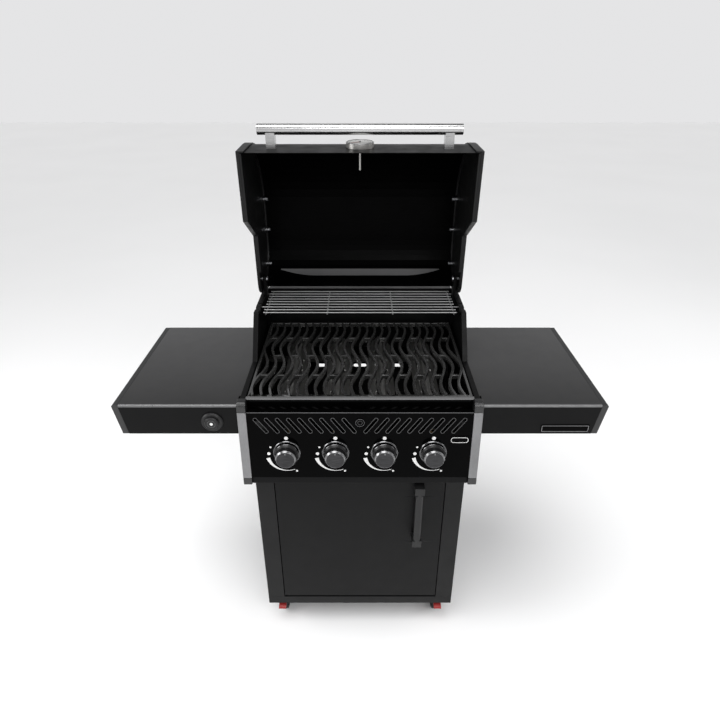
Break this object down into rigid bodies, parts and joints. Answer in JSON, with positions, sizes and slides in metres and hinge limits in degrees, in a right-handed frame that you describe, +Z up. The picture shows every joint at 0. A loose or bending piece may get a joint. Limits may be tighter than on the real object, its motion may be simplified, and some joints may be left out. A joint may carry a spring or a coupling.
{
  "type": "gas barbecue grill",
  "caption": "Gas barbecue grill on a cabinet cart with side shelves, hinged lid, turning push knobs, door, grease tray and braked casters.",
  "frame": {"origin": "on the ground under the middle of the whole grill as stored, with the lid open", "axes": "+X to the right seen from the front, -Y the front with the knobs and door, +Z up"},
  "size_m": [1.31, 0.665, 1.5591],
  "materials": {
    "powder_coat": "satin dark grey powder coat",
    "door_coat": "satin black powder coat",
    "casting": "cast aluminium in dark grey heat paint",
    "fire_steel": "matte black enamel",
    "burner_steel": "stainless steel",
    "grid_iron": "matte porcelain enamel",
    "rack_chrome": "bright plated wire",
    "brass": "machined brass",
    "zinc_steel": "zinc plated steel",
    "foil": "pressed foil",
    "panel_enamel": "gloss black enamel",
    "trim_silver": "satin anodised",
    "dark_moulding": "fine grained dark grey",
    "bezel_chrome": "polished",
    "knob_satin": "grey metallic with a brushed face",
    "dial_case": "stainless steel",
    "lever_red": "red nylon",
    "wheel_tread": "hard black tread"
  },
  "bodies": {
    "frame": {"base_pan": "powder_coat", "side_panels": "powder_coat", "back_panel": "powder_coat", "front_rails": "powder_coat", "door_fittings": "zinc_steel", "firebox_left": "casting", "firebox_right": "casting", "firebox_front": "fire_steel", "firebox_rear": "fire_steel", "firebox_floor": "fire_steel", "burner_tubes": "burner_steel", "burner_rail": "burner_steel", "sear_plates": "burner_steel", "cooking_grids": "grid_iron", "warming_rack": "rack_chrome", "valve_bodies": "brass", "gas_manifold": "zinc_steel", "gas_inlet": "brass", "control_panel": "panel_enamel", "panel_lip": "dark_moulding", "panel_trims": "trim_silver", "trim_caps": "dark_moulding", "knob_bezels": "bezel_chrome", "blank_badges": "trim_silver", "shelf_left": "powder_coat", "shelf_right": "powder_coat", "shelf_end_caps": "dark_moulding", "shelf_brackets": "powder_coat", "igniter_body": "bezel_chrome", "tray_rails": "zinc_steel", "caster_plates": "zinc_steel"},
    "lid": {"lid_hood": "panel_enamel", "lid_left": "casting", "lid_right": "casting", "lid_bolts": "zinc_steel", "lid_handle": "trim_silver", "thermometer": "dial_case"},
    "door": {"door": "door_coat", "door_handle": "dark_moulding"},
    "tray": {"grease_tray": "zinc_steel", "drip_pan": "foil"},
    "igniter_button": {"igniter_button": "knob_satin"},
    "valve_plug_1": {"valve_plug_1": "brass"},
    "knob_1": {"knob_1": "knob_satin"},
    "valve_plug_2": {"valve_plug_2": "brass"},
    "knob_2": {"knob_2": "knob_satin"},
    "valve_plug_3": {"valve_plug_3": "brass"},
    "knob_3": {"knob_3": "knob_satin"},
    "valve_plug_4": {"valve_plug_4": "brass"},
    "knob_4": {"knob_4": "knob_satin"},
    "fork_front_left": {"fork_front_left": "zinc_steel"},
    "wheel_front_left": {"wheel_front_left": "wheel_tread"},
    "fork_front_right": {"fork_front_right": "zinc_steel"},
    "wheel_front_right": {"wheel_front_right": "wheel_tread"},
    "fork_rear_left": {"fork_rear_left": "zinc_steel"},
    "wheel_rear_left": {"wheel_rear_left": "wheel_tread"},
    "fork_rear_right": {"fork_rear_right": "zinc_steel"},
    "wheel_rear_right": {"wheel_rear_right": "wheel_tread"},
    "brake_lever_left": {"brake_lever_left": "lever_red"},
    "brake_lever_right": {"brake_lever_right": "lever_red"}
  },
  "joints": [
    {"name": "lid_hinge", "type": "hinge", "parent": "frame", "child": "lid", "pos_m": [0, 0.166, 1.078], "axis": [1, 0, 0], "range_deg": [0, 88]},
    {"name": "door_hinge", "type": "hinge", "parent": "frame", "child": "door", "pos_m": [-0.2335, -0.262, 0.388], "axis": [0, 0, -1], "range_deg": [0, 110]},
    {"name": "tray_slide", "type": "slide", "parent": "frame", "child": "tray", "axis": [0, 1, 0], "range_m": [0, 0.3]},
    {"name": "igniter_press", "type": "slide", "parent": "frame", "child": "igniter_button", "axis": [0, 1, 0], "range_m": [0, 0.004], "stiffness_N_per_m": 1500, "springref_m": -0.002},
    {"name": "valve_turn_1", "type": "hinge", "parent": "frame", "child": "valve_plug_1", "pos_m": [-0.1995, -0.29286, 0.75231], "axis": [0, -0.9976, 0.0698], "range_deg": [0, 225]},
    {"name": "knob_press_1", "type": "slide", "parent": "valve_plug_1", "child": "knob_1", "axis": [0, 0.9976, -0.0698], "range_m": [0, 0.004], "stiffness_N_per_m": 2000, "springref_m": -0.002},
    {"name": "valve_turn_2", "type": "hinge", "parent": "frame", "child": "valve_plug_2", "pos_m": [-0.0665, -0.29286, 0.75231], "axis": [0, -0.9976, 0.0698], "range_deg": [0, 225]},
    {"name": "knob_press_2", "type": "slide", "parent": "valve_plug_2", "child": "knob_2", "axis": [0, 0.9976, -0.0698], "range_m": [0, 0.004], "stiffness_N_per_m": 2000, "springref_m": -0.002},
    {"name": "valve_turn_3", "type": "hinge", "parent": "frame", "child": "valve_plug_3", "pos_m": [0.0665, -0.29286, 0.75231], "axis": [0, -0.9976, 0.0698], "range_deg": [0, 225]},
    {"name": "knob_press_3", "type": "slide", "parent": "valve_plug_3", "child": "knob_3", "axis": [0, 0.9976, -0.0698], "range_m": [0, 0.004], "stiffness_N_per_m": 2000, "springref_m": -0.002},
    {"name": "valve_turn_4", "type": "hinge", "parent": "frame", "child": "valve_plug_4", "pos_m": [0.1995, -0.29286, 0.75231], "axis": [0, -0.9976, 0.0698], "range_deg": [0, 225]},
    {"name": "knob_press_4", "type": "slide", "parent": "valve_plug_4", "child": "knob_4", "axis": [0, 0.9976, -0.0698], "range_m": [0, 0.004], "stiffness_N_per_m": 2000, "springref_m": -0.002},
    {"name": "swivel_front_left", "type": "hinge", "parent": "frame", "child": "fork_front_left", "pos_m": [-0.258, -0.224, 0.11], "axis": [0, 0, 1], "continuous": true},
    {"name": "roll_front_left", "type": "hinge", "parent": "fork_front_left", "child": "wheel_front_left", "pos_m": [-0.258, -0.198, 0.038], "axis": [1, 0, 0], "continuous": true},
    {"name": "swivel_front_right", "type": "hinge", "parent": "frame", "child": "fork_front_right", "pos_m": [0.258, -0.224, 0.11], "axis": [0, 0, 1], "continuous": true},
    {"name": "roll_front_right", "type": "hinge", "parent": "fork_front_right", "child": "wheel_front_right", "pos_m": [0.258, -0.198, 0.038], "axis": [1, 0, 0], "continuous": true},
    {"name": "swivel_rear_left", "type": "hinge", "parent": "frame", "child": "fork_rear_left", "pos_m": [-0.258, 0.108, 0.11], "axis": [0, 0, 1], "continuous": true},
    {"name": "roll_rear_left", "type": "hinge", "parent": "fork_rear_left", "child": "wheel_rear_left", "pos_m": [-0.258, 0.134, 0.038], "axis": [1, 0, 0], "continuous": true},
    {"name": "swivel_rear_right", "type": "hinge", "parent": "frame", "child": "fork_rear_right", "pos_m": [0.258, 0.108, 0.11], "axis": [0, 0, 1], "continuous": true},
    {"name": "roll_rear_right", "type": "hinge", "parent": "fork_rear_right", "child": "wheel_rear_right", "pos_m": [0.258, 0.134, 0.038], "axis": [1, 0, 0], "continuous": true},
    {"name": "brake_left", "type": "hinge", "parent": "fork_front_left", "child": "brake_lever_left", "pos_m": [-0.258, -0.22, 0.093], "axis": [-1, 0, 0], "range_deg": [0, 15]},
    {"name": "brake_right", "type": "hinge", "parent": "fork_front_right", "child": "brake_lever_right", "pos_m": [0.258, -0.22, 0.093], "axis": [-1, 0, 0], "range_deg": [0, 15]}
  ]
}
